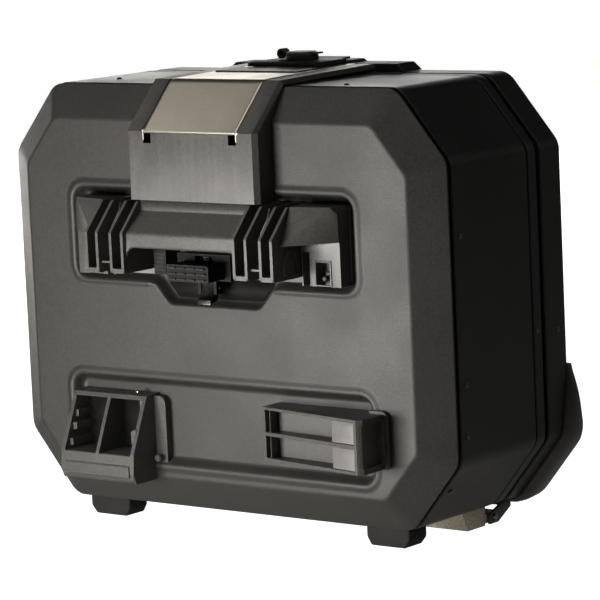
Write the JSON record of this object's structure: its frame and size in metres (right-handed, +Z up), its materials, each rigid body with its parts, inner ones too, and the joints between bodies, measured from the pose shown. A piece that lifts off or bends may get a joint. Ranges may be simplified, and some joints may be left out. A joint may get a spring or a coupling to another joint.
{
  "type": "motorcycle side case",
  "caption": "Hard-shell motorcycle side case with an outward-folding lid, keyed latch lever, carrying grip, release slide and carrier sockets.",
  "frame": {"origin": "middle of the bounding box in X and Y, at the lower face of the feet", "axes": "+X along the case, +Y from the bike-facing panel to the outer lid, +Z up"},
  "size_m": [0.507, 0.274, 0.4257],
  "materials": {
    "panel_plastic": "fine-textured matte black",
    "band_plastic": "smooth satin black",
    "satin_plastic": "satin charcoal",
    "dark_plastic": "dull black",
    "grey_plastic": "light grey moulded",
    "titanium_plate": "brushed and bead-blasted, warm titanium colour",
    "bronze_bracket": "bronze anodised",
    "zinc_steel": "zinc plated",
    "black_rivet": "black painted rivet heads",
    "black_rubber": "soft black rubber"
  },
  "bodies": {
    "case_body": {"inner_panel": "panel_plastic", "side_band": "band_plastic", "trim_ring": "band_plastic", "bridge_cover": "satin_plastic", "mount_housing": "satin_plastic", "claw_left": "satin_plastic", "claw_right": "satin_plastic", "grip_bar": "satin_plastic", "socket_left": "satin_plastic", "socket_right": "satin_plastic", "release_carrier": "dark_plastic", "socket_pad_upper": "grey_plastic", "socket_pad_lower": "grey_plastic", "strap_plate": "titanium_plate", "hinge_bracket_left": "bronze_bracket", "hinge_bracket_right": "bronze_bracket", "hinge_pin_left": "zinc_steel", "hinge_pin_right": "zinc_steel", "latch_lever_pin": "zinc_steel", "pawl_pin": "zinc_steel", "side_bolt_left": "zinc_steel", "side_bolt_right": "zinc_steel", "backing_plate": "zinc_steel", "backing_screw_left": "zinc_steel", "backing_screw_right": "zinc_steel", "release_spring": "zinc_steel", "socket_screw_top": "zinc_steel", "pad_screw_upper": "zinc_steel", "pad_screw_lower": "zinc_steel", "rivet_side_upper_left": "black_rivet", "rivet_side_upper_right": "black_rivet", "rivet_side_middle_left": "black_rivet", "rivet_side_middle_right": "black_rivet", "rivet_side_lower_left": "black_rivet", "rivet_side_lower_right": "black_rivet", "lid_seal": "black_rubber", "foot_left": "black_rubber", "foot_right": "black_rubber"},
    "lid": {"lid_rim": "band_plastic", "lid_shell": "panel_plastic", "lid_cover": "satin_plastic", "corner_guard_left": "satin_plastic", "corner_guard_right": "satin_plastic", "hinge_leaf_left": "dark_plastic", "hinge_leaf_right": "dark_plastic", "lid_keeper": "dark_plastic"},
    "latch_lever": {"latch_lever": "dark_plastic", "lock_housing": "dark_plastic"},
    "lock_plug": {"lock_plug": "zinc_steel"},
    "dust_cap": {"dust_cap": "satin_plastic"},
    "release_button": {"release_button": "dark_plastic"},
    "mount_pawl": {"mount_pawl": "zinc_steel"}
  },
  "joints": [
    {"name": "lid_hinge", "type": "hinge", "parent": "case_body", "child": "lid", "pos_m": [0, 0.0605, 0.007], "axis": [-1, 0, 0], "range_deg": [0, 80]},
    {"name": "latch_lever_hinge", "type": "hinge", "parent": "case_body", "child": "latch_lever", "pos_m": [0, 0.025, 0.4135], "axis": [1, 0, 0], "range_deg": [0, 75]},
    {"name": "lock_plug_turn", "type": "hinge", "parent": "latch_lever", "child": "lock_plug", "pos_m": [0, 0.053, 0.4176], "axis": [0, 0, 1], "range_deg": [0, 90]},
    {"name": "dust_cap_hinge", "type": "hinge", "parent": "latch_lever", "child": "dust_cap", "pos_m": [-0.0212, 0.053, 0.4209], "axis": [0, -1, 0], "range_deg": [0, 115]},
    {"name": "release_slide", "type": "slide", "parent": "case_body", "child": "release_button", "axis": [0, 0, 1], "range_m": [0, 0.006], "stiffness_N_per_m": 400, "springref_m": -0.003, "deforming": ["release_spring"]},
    {"name": "mount_pawl_pivot", "type": "hinge", "parent": "case_body", "child": "mount_pawl", "pos_m": [0, -0.093, 0.2265], "axis": [1, 0, 0], "range_deg": [0, 25]}
  ],
  "couplings": [
    {"joint": "mount_pawl_pivot", "follows": "release_slide", "rad_per_m": 70}
  ]
}
